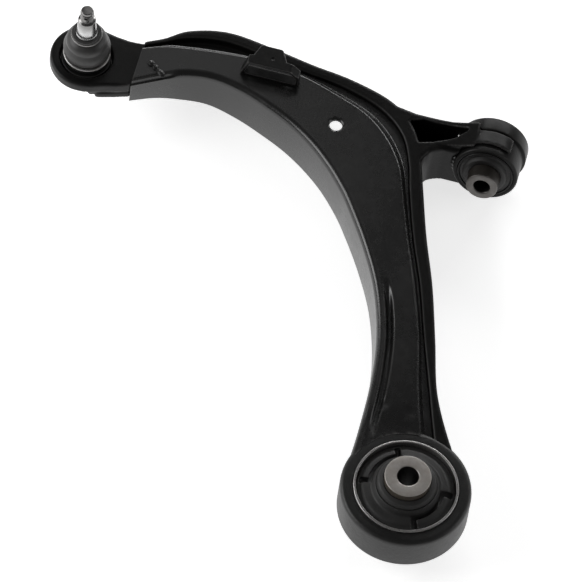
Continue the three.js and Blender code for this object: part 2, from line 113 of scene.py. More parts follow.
# x, y: foot of the inner wall. turn: direction of the section across the arm. plate: flat top.
# slope: falling edge of the top. pocket: gap before the outer rim. rim: its top. depth: the walls.
STATION_KEYS = ("x", "y", "turn", "plate", "slope", "pocket", "rim", "depth")
STATIONS = (
    (-270, 274, 89, 33, 3, 0.5, 3.5, 24),
    (-253, 283.5, 95, 29.5, 3, 1.5, 3.7, 27),
    (-236, 292, 97, 24.5, 3, 6.5, 6.7, 34),
    (-215, 295.5, 88, 24, 3, 8.5, 8.6, 37),
    (-192, 291.5, 73, 31, 3, 3, 9.2, 40),
    (-170, 283, 62, 38.5, 4.5, 0.5, 9.2, 41),
    (-151, 273.5, 52, 44, 10, 0.3, 10, 41),
    (-134, 262, 44, 50.5, 12, 0.3, 11.4, 41),
    (-119, 248.5, 39, 51.5, 12, 0.3, 10.5, 40),
    (-106, 234, 34, 49, 7, 0.3, 9.8, 40),
    (-95, 219, 30, 43, 4.5, 0.3, 10.6, 40),
    (-76, 188, 26, 34, 3.5, 0.3, 10.2, 40),
    (-60, 155, 20, 30, 3.5, 0.3, 9.4, 40),
    (-49, 117, 12, 30.5, 3.5, 0.3, 8.4, 40),
    (-44.2, 78, 4, 34.5, 8, 0.3, 6.2, 37),
    (-43.6, 36, 2, 47, 9, 0.3, 13, 32),
    (-44.6, 10, 1, 60, 9, 0.3, 20, 31),
)
RINGS = {"channel": 14, "frame": 8}  # sections for each station
FLOOR = -9.0  # foot of the channel's outer leg
RIM_TOP = -2.0
LEDGE = 4.0
NEAR_WALL = 285.0
ARM_BOTTOM = -43.0
BEAD = {"offset": 9.5, "half": 3.5, "flat": 0.7, "depth": 3.8, "rear_depth": 2.7}
BEAD_ALONG = {"start": 165, "full": 135, "end": 56, "gone": 30}
GAUGE_HOLE = {"x": -118, "y": 282, "radius": 4.7}
DIMPLES = ((-31, 62), (-11, 60))
DIMPLE = {"radius": 3.4, "depth": 0.9}
SEAM = {"fade": 8, "end": -238, "depth": 1.9}  # fold in the inner edge beside the nose
SINK = {"depth": 1.3, "start": 62, "end": 40}
INNER_EDGE = 5.0  # radius of the inner wall's rolled top edge
BELOW, ABOVE = -60, 60  # ends of a cutter that goes right through

REAR_EYE = {"outer": 47, "bore": 38, "top": -1.5, "bottom": -31}
FRONT_EYE = {"outer": 24.0, "collar": 26.1, "bore": 20.9, "half": 16.6, "step": -2.6}
STRAP = {"outer": 26.3, "low": -2.3, "high": 10.8, "start": 55, "end": 181}


def smoothstep(value, start, end):
    t = np.clip((value - start) / (end - start), 0, 1)
    return t * t * (3 - 2 * t)


def on_curve(rows, u):
    """The row at a place along a Catmull-Rom curve through all of the rows."""
    i = min(int(u), len(rows) - 2)
    t = u - i
    a, b, c, d = (rows[min(max(k, 0), len(rows) - 1)] for k in range(i - 1, i + 3))
    return b + 0.5 * t * (c - a + t * (2 * a - 5 * b + 4 * c - d + t * (3 * (b - c) + d - a)))


def station_at(u):
    """The stations' values at a place along the arm."""
    s = dict(zip(STATION_KEYS, on_curve(np.array(STATIONS, float), u)))
    s["channel"] = s["plate"] + s["slope"]
    s["inner_rim"] = s["channel"] + max(s["pocket"], GAP)
    s["edge"] = s["inner_rim"] + s["rim"]
    return s


def rounded(corners, steps=5):
    """Points of a closed outline of (x, y, radius) corners, each cut by an arc of its radius."""
    points = []
    for i, (x, y, radius) in enumerate(corners):
        here = np.array((x, y), float)
        if radius <= 0:
            points.append(here)
            continue
        back = np.array(corners[i - 1][:2], float) - here
        ahead = np.array(corners[(i + 1) % len(corners)][:2], float) - here
        back_length, ahead_length = np.linalg.norm(back), np.linalg.norm(ahead)
        back, ahead = back / back_length, ahead / ahead_length
        half = math.acos(min(max(back @ ahead, -1), 1)) / 2
        reach = min(radius / math.tan(half), 0.47 * back_length, 0.47 * ahead_length)
        start, end = here + back * reach, here + ahead * reach
        for k in range(steps + 1):
            t = k / steps
            points.append((1 - t) ** 2 * start + 2 * t * (1 - t) * here + t * t * end)
    return np.array(points)


def bead_drop(across, y):
    """Depth of the pressed bead at a distance from the inner wall."""
    rise = smoothstep(-y, -BEAD_ALONG["start"], -BEAD_ALONG["full"])
    fall = smoothstep(y, BEAD_ALONG["gone"], BEAD_ALONG["end"])
    side = 1 - smoothstep(abs(across - BEAD["offset"]), BEAD["flat"], BEAD["half"])
    depth = BEAD["rear_depth"] + (BEAD["depth"] - BEAD["rear_depth"]) * smoothstep(y, 85, 115)
    return depth * rise * fall * side


def channel_section(s):
    """Channel: deep inner wall, flat top with a pressed bead, outer edge with a step and a short leg."""
    step = s["plate"] + 0.8 + 0.3 * s["slope"]
    drop = 3.2 + 0.18 * min(s["slope"], 10)
    leg = s["channel"]
    seam = SEAM["depth"] * (1 - smoothstep(s["x"], SEAM["end"] - SEAM["fade"], SEAM["end"]))
    across = np.concatenate((np.linspace(5.4, 13.6, 14), np.linspace(15, s["plate"] - 4, 14)))
    top = [(t, -bead_drop(t, s["y"]), 0) for t in across]
    under = [(t, -SHEET - bead_drop(t, s["y"]), 0) for t in across[::-1]]
    corner = []
    for k, angle in enumerate(np.linspace(0, math.pi / 2, 9)[:-1]):
        inward = seam * max(0, 1 - abs(k - 3.5) / 2.2)
        t = INNER_EDGE - INNER_EDGE * math.cos(angle)
        z = INNER_EDGE * math.sin(angle) - INNER_EDGE
        corner.append((t + 0.45 * inward, z - inward, 0))
    return rounded([
        (0, -s["depth"], 0.8), *corner, *top, (s["plate"] - 0.8, 0, 2.4), (step, -drop, 1.6),
        (leg, -drop - 0.3, 0.5), (leg, FLOOR, 0.8), (leg - SHEET, FLOOR, 0.8), (leg - SHEET, -drop - 3, 0.6),
        (min(step, leg - SHEET) - 1.2, -drop - 2.9, 0.6), (s["plate"] - 2.9, -SHEET, 1.2), *under,
        (SHEET, -SHEET, 2), (SHEET, -s["depth"], 0.8),
    ])


def frame_section(s):
    """Outer frame: outer wall, raised rim, and a ledge that reaches under the channel's leg."""
    lip, ledge = s["channel"] - LEDGE, FLOOR - GAP
    wall, wall_foot = s["edge"] - SHEET, 4 - s["depth"]
    return rounded([
        (lip, ledge, 0.6), (s["inner_rim"], ledge, 0.8),
        (s["inner_rim"], RIM_TOP, 1.6), (s["edge"], RIM_TOP, 2.4),
        (s["edge"], wall_foot, 0.8), (wall, wall_foot, 0.8),
        (wall, ledge - SHEET, 1.2), (lip, ledge - SHEET, 0.6),
    ])


def clearance_section(s):
    """The space that the channel fills, up to well above the top."""
    inner = s["channel"] - LEDGE
    foot = -s["depth"] - 8
    return np.array([
        (-20, foot), (-20, 20), (s["channel"] + GAP, 20), (s["channel"] + GAP, FLOOR - GAP),
        (inner, FLOOR - GAP), (inner, foot),
    ])


def sections(profile, per_station):
    """Rings of a profile that is drawn across the arm, from the nose to the rear eye."""
    rings = []
    for u in np.linspace(0, len(STATIONS) - 1, (len(STATIONS) - 1) * per_station + 1):
        s = station_at(u)
        turn = math.radians(s["turn"])
        across, height = profile(s).T
        x, y = s["x"] + across * math.cos(turn), s["y"] + across * math.sin(turn)
        rings.append(np.column_stack((x, y, height)))
    return rings


# ---------------------------------------------------------------- mesh tools


def show(name, data):
    """A new object in the scene."""
    thing = bpy.data.objects.new(name, data)
    bpy.context.scene.collection.objects.link(thing)
    return thing


def piece_of(name, points, faces):
    """A new closed mesh from layout points, with its faces pointing out."""
    mesh = bpy.data.meshes.new(name)
    mesh.from_pydata([tuple(p) for p in place(points)], [], faces)
    work = bmesh.new()
    work.from_mesh(mesh)
    bmesh.ops.recalc_face_normals(work, faces=work.faces)
    if work.calc_volume(signed=True) < 0:
        bmesh.ops.reverse_faces(work, faces=work.faces)
    work.to_mesh(mesh)
    work.free()
    return show(name, mesh)


def loft(name, rings, closed=False):
    """A skin over rings of points: open at both ends of the run and capped, or closed on itself."""
    count, size = len(rings), len(rings[0])
    faces = []
    for r in range(count if closed else count - 1):
        here, after = r * size, ((r + 1) % count) * size
        for i in range(size):
            j = (i + 1) % size
            faces.append((here + i, here + j, after + j, after + i))
    if not closed:
        faces.append(tuple(range(size)))
        faces.append(tuple(range((count - 1) * size, count * size)))
    return piece_of(name, np.concatenate(rings), faces)


UPRIGHT = Matrix.Identity(3)


def unit_arc(start, end, count):
    """Unit vectors in plan from one angle in degrees to another."""
    angles = np.radians(np.linspace(start, end, count))
    return np.column_stack((np.cos(angles), np.sin(angles)))


def set_down(local, centre, turn=UPRIGHT):
    """Points drawn about the z axis, turned to another axis and moved to its centre."""
    return local @ np.array(turn).T + np.array(centre)


def swung(profile, angle):
    """A (radius, height) profile stood up at an angle round the z axis."""
    radius, height = profile.T
    return np.column_stack((radius * math.cos(angle), radius * math.sin(angle), height))


def turned_points(profile, segments, centre, turn=UPRIGHT):
    """Rings of a closed (radius, height) profile, one ring for each step round the axis."""
    return [set_down(swung(profile, 2 * math.pi * k / segments), centre, turn) for k in range(segments)]


def turned(name, corners, centre, turn=UPRIGHT, segments=96, steps=4):
    return loft(name, turned_points(rounded(corners, steps), segments, centre, turn), closed=True)


def tube(inner, outer, low, high, radii):
    """Corners of the wall of a tube, from its inner foot round to its inner top."""
    ends = ((inner, low), (outer, low), (outer, high), (inner, high))
    return [(*end, radius) for end, radius in zip(ends, radii)]


def outset(outline, distance):
    """An outline in plan moved out by a distance, or in by a negative one."""
    before, after = np.roll(outline, 1, axis=0), np.roll(outline, -1, axis=0)
    along = after - before
    along /= np.linalg.norm(along, axis=1)[:, None]
    area = np.sum(outline[:, 0] * after[:, 1] - after[:, 0] * outline[:, 1])
    normal = np.column_stack((along[:, 1], -along[:, 0])) * math.copysign(1, area)
    return outline + distance * normal


def slab(name, outline, low, high, top=0.0, bottom=0.0, steps=5, share=1.0):
    """A plan outline raised from one height to another, with rounded top and bottom edges. share is how
    much of the rounding each point of the outline takes."""
    share = np.broadcast_to(share, len(outline))[:, None]
    rings = []
    for k in range(steps + 1 if bottom else 1):
        angle = math.pi / 2 * (1 - k / steps)
        inset = bottom * (1 - math.cos(angle))
        rings.append((inset, low + bottom * (1 - math.sin(angle))))
    for k in range(steps + 1 if top else 1):
        angle = math.pi / 2 * k / steps
        rings.append((top * (1 - math.cos(angle)), high - top * (1 - math.sin(angle))))
    flat = [np.column_stack((outset(outline, -i * share), np.full(len(outline), z))) for i, z in rings]
    return loft(name, flat)


def upright_slab(name, outline, near, far):
    """An outline in x and z, drawn from one y to another."""
    rings = [np.column_stack((outline[:, 0], np.full(len(outline), y), outline[:, 1])) for y in (near, far)]
    return loft(name, rings)


def drum(name, radius, low, high, centre, turn=UPRIGHT, segments=96):
    """A plain cylinder, used only to cut with."""
    angles = np.linspace(0, 2 * math.pi, segments, endpoint=False)
    circle = radius * np.column_stack((np.cos(angles), np.sin(angles)))
    rings = [np.column_stack((circle, np.full(segments, z))) for z in (low, high)]
    return loft(name, [set_down(ring, centre, turn) for ring in rings])


def settle(piece):
    """Applies a piece's modifiers to its mesh."""
    graph = bpy.context.evaluated_depsgraph_get()
    mesh = bpy.data.meshes.new_from_object(piece.evaluated_get(graph))
    piece.modifiers.clear()
    old = piece.data
    piece.data = mesh
    bpy.data.meshes.remove(old)
    return piece


def combine(piece, other, operation):
    change = piece.modifiers.new(operation, "BOOLEAN")
    change.operation = operation
    change.solver = "MANIFOLD"
    change.object = other
    settle(piece)
    bpy.data.objects.remove(other)
    return piece


def cut(piece, other):
    return combine(piece, other, "DIFFERENCE")


def join(piece, other):
    return combine(piece, other, "UNION")


def melted(piece, voxel, softness):
    """One even skin over a joined piece, with its corners softened as a die or a mould leaves them."""
    skin = piece.modifiers.new("skin", "REMESH")
    skin.mode = "VOXEL"
    skin.voxel_size = voxel * MM
    soften = piece.modifiers.new("soften", "SMOOTH")
    soften.factor = 0.5
    soften.iterations = softness
    return settle(piece)


SLIVER = {"share": 0.02, "merge": 0.002}  # share of a piece's points, and mm


def drop_slivers(piece):
    """Merges points that lie together and deletes the loose bits that a cut can leave beside a piece."""
    mesh = bmesh.new()
    mesh.from_mesh(piece.data)
    bmesh.ops.remove_doubles(mesh, verts=mesh.verts, dist=SLIVER["merge"] * MM)
    bmesh.ops.dissolve_degenerate(mesh, dist=SLIVER["merge"] * MM, edges=mesh.edges)
    seen, loose = set(), []
    for start in mesh.verts:
        if start in seen:
            continue
        island = [start]
        seen.add(start)
        for vert in island:
            for edge in vert.link_edges:
                other = edge.other_vert(vert)
                if other not in seen:
                    seen.add(other)
                    island.append(other)
        if len(island) < SLIVER["share"] * len(mesh.verts):
            loose.extend(island)
    bmesh.ops.delete(mesh, geom=loose, context="VERTS")
    mesh.to_mesh(piece.data)
    mesh.free()


def finish_piece(piece, body, node, look, sharp=40):
    """Gives a piece its shading, material, slot and body, and hides the CAD node it stands for."""
    drop_slivers(piece)
    piece.data.materials.clear()
    piece.data.materials.append(look)
    piece.data.shade_smooth()
    piece.data.set_sharp_from_angle(angle=math.radians(sharp))
    if node:
        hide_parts(node)
    if body:
        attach(piece, body)
    return piece


# ---------------------------------------------------------------- materials


class Look:
    """A node material. Each helper adds one node and gives back its output."""

    def __init__(self, name):
        self.material = bpy.data.materials.new(name)
        self.material.use_nodes = True
        self.tree = self.material.node_tree
        self.shader = self.tree.nodes["Principled BSDF"]
        self.place = self.add("TexCoord").outputs["Object"]

    def add(self, kind, **inputs):
        """A new node, with some of its inputs set or linked."""
        node = self.tree.nodes.new("ShaderNode" + kind)
        for name, value in inputs.items():
            self.put(node.inputs[name.replace("_", " ")], value)
        return node

    def link(self, source, target):
        self.tree.links.new(source, target)

    def put(self, socket, value):
        if isinstance(value, bpy.types.NodeSocket):
            self.link(value, socket)
        else:
            socket.default_value = value

    def noise(self, size, detail=3.0, roughness=0.5, at=None, stretch=(1, 1, 1)):
        """Noise whose blotches are about size millimetres across, from 0 to 1."""
        where = self.vector("MULTIPLY", at or self.place, stretch)
        scale = 1 / (size * MM)
        node = self.add("TexNoise", Scale=scale, Detail=detail, Roughness=roughness, Vector=where)
        return node.outputs["Fac"]

    def cells(self, size):
        return self.add("TexVoronoi", Scale=1 / (size * MM), Vector=self.place).outputs["Distance"]

    def vector(self, operation, first, second=None, output="Vector"):
        node = self.add("VectorMath")
        node.operation = operation
        self.put(node.inputs[0], first)
        if second is not None:
            self.put(node.inputs[1], second)
        return node.outputs[output]

    def maths(self, operation, first, second=0.0):
        node = self.add("Math")
        node.operation = operation
        self.put(node.inputs[0], first)
        self.put(node.inputs[1], second)
        return node.outputs[0]

    def times(self, first, second):
        return self.maths("MULTIPLY", first, second)

    def ripples(self, distance, pitch):
        """A sine wave along a distance, of that pitch in millimetres."""
        return self.maths("SINE", self.times(distance, 2 * math.pi / (pitch * MM)))

    def ranged(self, value, low, high, to_low=0.0, to_high=1.0):
        node = self.add("MapRange", Value=value, From_Min=low, From_Max=high, To_Min=to_low, To_Max=to_high)
        node.interpolation_type = "SMOOTHSTEP"
        return node.outputs["Result"]

    def mixed(self, share, first, second):
        node = self.add("Mix")
        node.data_type = "RGBA"
        self.put(node.inputs["Factor"], share)
        self.put(node.inputs[6], first)
        self.put(node.inputs[7], second)
        return node.outputs[2]

    def from_axis(self, centre, axis):
        """Distance in metres of a point from a line."""
        offset = self.vector("SUBTRACT", self.place, tuple(centre))
        return self.vector("LENGTH", self.vector("CROSS_PRODUCT", offset, tuple(axis)), output="Value")

    def height_along(self, centre, axis):
        offset = self.vector("SUBTRACT", self.place, tuple(centre))
        return self.vector("DOT_PRODUCT", offset, tuple(axis), output="Value")

    # Crest mask, used both for rubbed paint and for a painted highlight.
    def worn_and_highlit_crest(self, low, high):
        """1 on the crests of a shape and 0 elsewhere."""
        node = self.add("NewGeometry")
        return self.ranged(node.outputs["Pointiness"], low, high)

    def bump(self, height, depth, under=None):
        """A bump of that depth in millimetres, on top of another."""
        node = self.add("Bump", Strength=1.0, Distance=depth * MM, Height=height)
        if under is not None:
            self.link(under, node.inputs["Normal"])
        return node.outputs["Normal"]

    def finish(self, colour, roughness, normal, metallic=0.0, **fixed):
        self.put(self.shader.inputs["Base Color"], colour)
        self.put(self.shader.inputs["Roughness"], roughness)
        self.shader.inputs["Metallic"].default_value = metallic
        self.link(normal, self.shader.inputs["Normal"])
        for name, value in fixed.items():
            self.shader.inputs[name.replace("_", " ")].default_value = value
        return self.material


def grey(value, warm=0.0):
    return (value * (1 + warm), value, value * (1 - warm), 1)


def coat_look(name, grain, smooth, ior):
    """Black dip paint on steel: satin, with the steel's waviness, a fine grain and paler crests that are
    partly rubbed paint and partly a painted highlight.
    """
    look = Look(name)
    cloud = look.noise(60, 4, 0.6)
    film = look.noise(5.5, 5, 0.65)
    speck = look.noise(0.7, 2, 0.6)
    paint = look.mixed(cloud, grey(0.0042), grey(0.0075, 0.04))
    dusted = look.mixed(look.ranged(film, 0.52, 0.75, 0, 0.25), paint, grey(0.015, 0.06))
    # Paler crests: partly rubbed paint, partly a painted highlight along the edges.
    rubbed_and_highlit = look.times(look.worn_and_highlit_crest(0.51, 0.57), look.ranged(film, 0.2, 0.5, 0.5, 1))
    colour = look.mixed(look.times(rubbed_and_highlit, 0.65), dusted, grey(0.1, 0.02))
    spread = look.ranged(cloud, 0.3, 0.7, smooth - 0.02, smooth + 0.03)
    roughness = look.maths("ADD", spread, look.ranged(film, 0.4, 0.75, -0.01, 0.035))
    waves = look.bump(look.noise(30, 2, 0.4), 0.16)
    skin = look.bump(look.noise(2.4, 3, 0.55), 0.045 * grain, under=waves)
    normal = look.bump(speck, 0.016 * grain, under=skin)
    return look.finish(colour, roughness, normal, IOR=ior)


def weld_look():
    """Weld metal under the same paint: ripples, beads of spatter and a rougher film."""
    look = Look("weld_paint")
    ripple = look.noise(1.3, 4, 0.6)
    colour = look.mixed(ripple, grey(0.008), grey(0.018, 0.03))
    roughness = look.ranged(ripple, 0.3, 0.7, 0.26, 0.42)
    normal = look.bump(look.cells(1.6), 0.12, under=look.bump(ripple, 0.25))
    return look.finish(colour, roughness, normal, IOR=1.5)


def steel_look(name, centre, axis, face, side, top_height, bore):
    """Phosphated steel sleeve: paler end face with turning marks, darker side, and painted shade that
    colours the bore near-black.
    """
    look = Look(name)
    stain = look.noise(7, 5, 0.6)
    grit = look.noise(0.5, 2, 0.6)
    away = look.from_axis(centre, axis)
    on_face = look.ranged(look.height_along(centre, axis), top_height - 0.9 * MM, top_height - 0.2 * MM)
    # Painted shade: the inside surface of the bore is coloured near-black.
    painted_bore_shade = look.ranged(away, bore - 0.2 * MM, bore + 0.3 * MM, 1, 0)
    sides = look.mixed(look.ranged(stain, 0.35, 0.7), grey(side, 0.16), grey(side * 0.55, 0.3))
    faces = look.mixed(look.ranged(stain, 0.3, 0.7), grey(face, 0.05), grey(face * 0.78, 0.09))
    colour = look.mixed(painted_bore_shade, look.mixed(on_face, sides, faces), grey(0.006))
    roughness = look.ranged(stain, 0.25, 0.75, 0.34, 0.5)
    normal = look.bump(grit, 0.03, under=look.bump(look.ripples(away, 0.45), 0.008))
    return look.finish(colour, roughness, normal, metallic=0.55, IOR=1.8)


def thin_steel_look(name, value, smooth, rough):
    """Bright thin sheet steel with fine scratches along its length."""
    look = Look(name)
    stain = look.noise(9, 4, 0.6)
    scratch = look.noise(1.2, 3, 0.6, stretch=(1, 1, 6))
    colour = look.mixed(stain, grey(value), grey(value * 0.72, 0.05))
    roughness = look.ranged(scratch, 0.25, 0.75, smooth, rough)
    normal = look.bump(scratch, 0.02)
    return look.finish(colour, roughness, normal, metallic=0.85, IOR=1.8)


def rubber_look(name, value, smooth, bloom):
    """Moulded rubber: matt, faintly mottled, with a pale bloom and mould grain."""
    look = Look(name)
    cloud = look.noise(11, 5, 0.62)
    dust = look.noise(1.1, 3, 0.7)
    base = look.mixed(cloud, grey(value), grey(value * 1.6, 0.04))
    share = look.times(look.ranged(dust, 0.5, 0.75), look.ranged(cloud, 0.4, 0.7))
    colour = look.mixed(look.times(share, bloom), base, grey(value * 3.2, 0.02))
    roughness = look.ranged(cloud, 0.3, 0.7, smooth, smooth + 0.14)
    swell = look.bump(look.noise(6, 2, 0.5), 0.15)
    normal = look.bump(look.noise(0.6, 3, 0.6), 0.035, under=swell)
    return look.finish(colour, roughness, normal, IOR=1.5)


def plated_look():
    """Bright zinc on turned steel, with painted shade that darkens it towards the thread, and fine tool
    lines round the axis.
    """
    look = Look("stud_plate")
    centre, axis = place((*BALL_AXIS.xy, 0)), (0, 0, 1)
    haze = look.noise(4, 4, 0.6)
    along = look.height_along(centre, axis)
    lines = look.noise(0.5, 2, 0.5, at=look.vector("MULTIPLY", look.place, (0.04, 0.04, 1.0)))
    # Painted shade: the colour darkens from 30 to 44 mm up the stud, towards the thread.
    painted_thread_shade = look.ranged(along, 0.03, 0.044)
    bright = look.mixed(haze, grey(0.74, -0.01), grey(0.5, 0.01))
    colour = look.mixed(painted_thread_shade, bright, look.mixed(haze, grey(0.3, 0.01), grey(0.17, 0.03)))
    roughness = look.ranged(haze, 0.25, 0.75, 0.16, 0.27)
    normal = look.bump(look.ripples(along, 0.3), 0.0025, under=look.bump(lines, 0.01))
    return look.finish(colour, roughness, normal, metallic=1.0, IOR=2.2)


def polymer_look():
    """Off-white bearing polymer."""
    look = Look("seat_polymer")
    flow = look.noise(5, 3, 0.5)
    colour = look.mixed(flow, grey(0.74, 0.04), grey(0.62, 0.07))
    roughness = look.ranged(flow, 0.3, 0.7, 0.38, 0.5)
    return look.finish(colour, roughness, look.bump(look.noise(0.8, 2, 0.5), 0.02), IOR=1.48)


pressed_paint = coat_look("pressed_paint", grain=1.0, smooth=0.27, ior=1.62)
forged_paint = coat_look("forged_paint", grain=2.4, smooth=0.34, ior=1.3)
frame_paint = coat_look("frame_paint", grain=2.0, smooth=0.34, ior=1.25)
cast_paint = coat_look("cast_paint", grain=4.0, smooth=0.42, ior=1.5)
weld_paint = weld_look()
rear_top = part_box("rear_inner_sleeve")[1].z - ORIGIN.z
bush_steel = steel_look(
    "rear_core_steel", place(CENTRE), (0, 0, 1), face=0.42, side=0.09, top_height=rear_top, bore=7.8 * MM
)
sleeve_bright = thin_steel_look("sleeve_bright", value=0.5, smooth=0.25, rough=0.42)
spring_bright = thin_steel_look("spring_steel_bright", value=0.34, smooth=0.22, rough=0.4)
bush_rubber = rubber_look("bush_rubber_mould", value=0.017, smooth=0.5, bloom=0.6)
boot_rubber = rubber_look("boot_rubber_mould", value=0.03, smooth=0.38, bloom=0.35)
stud_plate = plated_look()
seat_polymer = polymer_look()

# ---------------------------------------------------------------- pressed steel


def dented(rings):
    """Presses the two shallow marks into the plate before the rear eye."""
    for ring in rings:
        for x, y in DIMPLES:
            away = np.hypot(ring[:, 0] - x, ring[:, 1] - y) / DIMPLE["radius"]
            on_plate = ring[:, 2] > -SHEET - 1
            ring[:, 2] -= np.where(on_plate, DIMPLE["depth"] * np.exp(-(away**2)), 0)
    return rings


def meet_eye(piece):
    """Ends a pressing on the rear eye: against its side, with the top skin lapped over its edge."""
    cut(piece, drum("eye_side", REAR_EYE["outer"] - 0.5, -70, -3.4, CENTRE, segments=160))
    cut(piece, drum("eye_lap", REAR_EYE["outer"] - 3.4, -5, 30, CENTRE, segments=160))


def sunk_end(rings):
    """Lowers the top towards the rear eye, so that it runs out level with the eye's top."""
    for ring in rings:
        on_top = np.clip((ring[:, 2] + 8) / 6, 0, 1)
        ring[:, 2] -= SINK["depth"] * smoothstep(ring[:, 1], SINK["start"], SINK["end"]) * on_top
    return rings


channel = loft("channel_pressing", sunk_end(dented(sections(channel_section, RINGS["channel"]))))
meet_eye(channel)
gauge_corners = [(0.01, -20, 0), (GAUGE_HOLE["radius"], -20, 0), (GAUGE_HOLE["radius"], -1.1, 0.6)]
gauge_corners += [(GAUGE_HOLE["radius"] + 1.5, 0.6, 0), (0.01, 0.6, 0)]
cut(channel, turned("gauge_cutter", gauge_corners, (GAUGE_HOLE["x"], GAUGE_HOLE["y"], 0), segments=48))
finish_piece(channel, "arm", "main_channel", pressed_paint, sharp=50)


def front_arm():
    """Hollow box arm of the frame, with a three-cornered pocket on top and a saddle to the eye."""
    skin = rounded([
        (-90, 314.5, 4), (-78, 312.2, 8), (-63, 309.8, 12), (-45, 310, 12), (-30, 311, 6), (-4, 311, 2),
        (-4, NEAR_WALL, 2), (-38, NEAR_WALL, 10), (-46.4, 281, 8), (-51, 273, 8), (-50.6, 261, 12),
        (-44, 243, 8), (-52, 240, 4), (-62, 262, 8), (-72, 288, 8), (-88, 304, 8),
    ], steps=6)
    hollow = rounded([
        (-84, 309, 3), (-63, 306.5, 8), (-45, 307, 4), (-30, 308, 3), (-30, 288, 3), (-39, 288, 5),
        (-48.3, 283.2, 5), (-54, 274, 5), (-53.5, 262, 5), (-50, 240, 3), (-70, 262, 5), (-80, 288, 5),
    ], steps=4)
    saddle = rounded([
        (-56, -6, 0), (-56, RIM_TOP - 0.6, 0), (-46, RIM_TOP, 9), (-36, -0.2, 9), (-26, 3.4, 9),
        (-16, 8, 0), (-16, -6, 0),
    ])
    pocket = rounded([
        (-71, 299.5, 2.5), (-66, 303, 2), (-57, 306.3, 3), (-40, 305.5, 3), (-23.5, 303.7, 0.5),
        (-23.5, 302, 0.5), (-31.5, 295, 2), (-46.5, 289.4, 3), (-57, 286, 3), (-66, 293, 2.5),
    ])
    x, y = skin.T
    free = smoothstep(x, -86, -76) * (1 - smoothstep(x, -12, -7)) * smoothstep(y, 244, 252)
    arm = slab("front_arm", skin, ARM_BOTTOM, RIM_TOP, top=2.2, share=free)
    cut(arm, slab("hollow", hollow, ARM_BOTTOM + SHEET, RIM_TOP - SHEET))
    join(arm, upright_slab("saddle", saddle, 287.5, 309))
    cut(arm, slab("pocket", pocket, -13, 14))
    return join(arm, eye_strap())


def eye_strap():
    """Strap in which the frame wraps over the top of the front eye."""
    section = [(FRONT_EYE["outer"] - 1, STRAP["low"]), (STRAP["outer"], STRAP["low"])]
    section += [(STRAP["outer"], STRAP["high"]), (FRONT_EYE["outer"] - 1, STRAP["high"])]
    rings = []
    for way in unit_arc(STRAP["start"], STRAP["end"], 48):
        local = np.array([(*(radius * way), z) for radius, z in section])
        rings.append(set_down(local, FRONT_CENTRE, FRONT_TURN))
    return loft("eye_strap", rings)


outer = loft("frame_pressing", sections(frame_section, RINGS["frame"]))
arm_solid = front_arm()
cut(arm_solid, loft("channel_space", sections(clearance_section, RINGS["frame"])))
join(outer, arm_solid)
meet_eye(outer)
for radius, top in ((FRONT_EYE["outer"], ABOVE), (FRONT_EYE["collar"], FRONT_EYE["step"])):
    cut(outer, drum("front_clearance", radius + GAP, BELOW, top, FRONT_CENTRE, FRONT_TURN))
melted(outer, 0.9, 4)
finish_piece(outer, "arm", "outer_frame", frame_paint, sharp=70)


def carrier():
    """Nose plate: a round nose with a rolled edge and a dished mouth, a boss below, and a deep tail."""
    nose, boss, bore, groove = 26.5, 23.5, 18.8, 20.7
    top, step, shelf, bottom = -3.3, -12.0, -16.5, -20.0
    centre = np.array(BALL_AXIS)[:2]

    def outline(radius, inset):
        ends = centre + radius * unit_arc(70, 286, 60)
        near = [(-298, 265.4 + inset, 0), (-289, 268.9 + inset, 12), (-280, 271.2 + inset, 10)]
        far = [(-280, 312.4 - inset, 10), (-290, 313.6 - inset, 0)]
        tongue = [(-270.2, 274.8 + inset, 0.8), (-270.2, 278, 0.4), (-258, 288, 1), (-248, 294, 1)]
        tongue += [(-248, 303, 1), (-262, 305, 1), (-268.5, 305, 0.4), (-268.5, 312.4 - inset, 0.8)]
        return np.concatenate((ends, rounded([*near, *tongue, *far], steps=4)))

    upper, lower = outline(nose, 0), outline(boss, 0.9)
    edge = 1 - smoothstep(upper[:, 0], -282, -272)
    plate = slab("nose_plate", upper, step, top, top=2.2, share=edge)
    join(plate, slab("boss", lower, shelf, step + 1.5))
    rib = [(-296, 266.6, 3), (-281, 271.1, 12), (-270.2, 274.9, 1), (-268.5, 312.2, 1), (-288, 313.4, 3)]
    join(plate, slab("tail", rounded(rib), bottom, shelf + 1.5))
    cut(plate, drum("bore", bore, BELOW, ABOVE, (*centre, 0)))
    cut(plate, drum("spring_room", bore + 2.2, BELOW, shelf, (*centre, 0)))
    mouth = [(0.01, top - 2.4, 0), (bore, top - 2.4, 0), (groove, top + 1, 0), (0.01, top + 1, 0)]
    cut(plate, turned("mouth", mouth, (*centre, 0)))
    return melted(plate, 0.7, 4)


finish_piece(carrier(), "arm", "ball_joint_carrier", forged_paint, sharp=60)


def bracket():
    """Harness bracket: a bent strip that bridges the top, wide in front and narrow behind."""
    outside = [(-196, 0.3, 0.8), (-191.5, 17, 2.4), (-159.5, 17, 2), (-152.5, 11, 2), (-152.5, 0.3, 0.8)]
    inside = [(-193, 2.3, 0.8), (-189.6, 14.8, 1.4), (-160, 14.8, 1), (-154.7, 9.9, 1), (-154.7, 2.3, 0.8)]
    lid = rounded([(-191.5, 305, 0.5), (-159.5, 305, 0.5), (-168.5, 323, 2.5), (-185, 323, 2.5)])
    strap = upright_slab("cable_bracket", rounded(outside), 305, 312.5)
    cut(strap, upright_slab("tunnel", rounded(inside), 303, 314))
    join(strap, slab("lid", lid, 14.8, 17, top=0.9, bottom=0.5))
    mark = [(0.01, 16.3, 0), (1.1, 16.5, 0), (1.6, 17.5, 0), (0.01, 17.5, 0)]
    cut(strap, turned("mark", mark, (-174, 313, 0), segments=24))
    return melted(strap, 0.45, 3)


finish_piece(bracket(), "arm", "harness_bracket", forged_paint, sharp=60)


